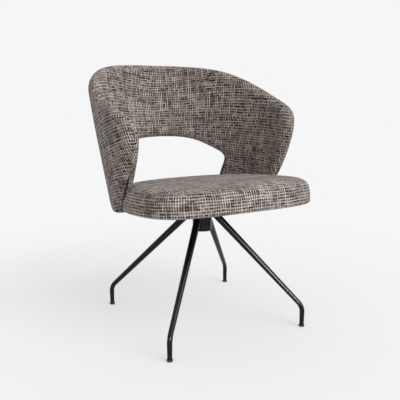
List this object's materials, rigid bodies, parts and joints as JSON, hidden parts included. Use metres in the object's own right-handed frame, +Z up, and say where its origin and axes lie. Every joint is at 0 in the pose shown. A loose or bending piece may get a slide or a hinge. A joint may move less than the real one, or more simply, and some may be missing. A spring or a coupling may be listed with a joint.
{
  "type": "swivel armchair",
  "caption": "Swivel armchair with a wrap-around padded back and arms, an opening between seat and back, and a splayed tube-leg base.",
  "frame": {"origin": "on the floor, under the swivel axis", "axes": "+Z up along the swivel axis, the chair faces -Y, +X is the sitter's left"},
  "size_m": [0.6334, 0.6472, 0.7967],
  "materials": {
    "frame_black": "satin black powder coat",
    "steel": "zinc plated",
    "nylon": "moulded black",
    "plywood": "plain plywood",
    "upholstery": "coarse taupe basket weave over foam",
    "lining": "black non-woven lining"
  },
  "bodies": {
    "base": {"hub_tube": "frame_black", "hub_plug": "nylon", "lower_bush": "nylon", "upper_bush": "nylon", "leg_rear_left": "frame_black", "leg_rear_right": "frame_black", "leg_front_right": "frame_black", "leg_front_left": "frame_black", "foot_glide_rear_left": "nylon", "foot_glide_rear_right": "nylon", "foot_glide_front_right": "nylon", "foot_glide_front_left": "nylon"},
    "seat": {"thrust_washer": "nylon", "spindle": "steel", "spindle_washer": "steel", "retaining_ring": "steel", "seat_plate": "frame_black", "seat_plate_bolts": "steel", "seat_plate_washers": "steel", "tee_nuts": "steel", "seat_board": "plywood", "seat_cushion": "upholstery", "dust_cover": "lining", "arm_bracket_left": "frame_black", "arm_bracket_right": "frame_black", "bracket_screws": "steel", "back_core": "plywood", "back_outer_pad": "upholstery", "back_inner_pad": "upholstery"}
  },
  "joints": [
    {"name": "swivel", "type": "hinge", "parent": "base", "child": "seat", "pos_m": [0, 0, 0.352], "axis": [0, 0, 1], "continuous": true}
  ]
}
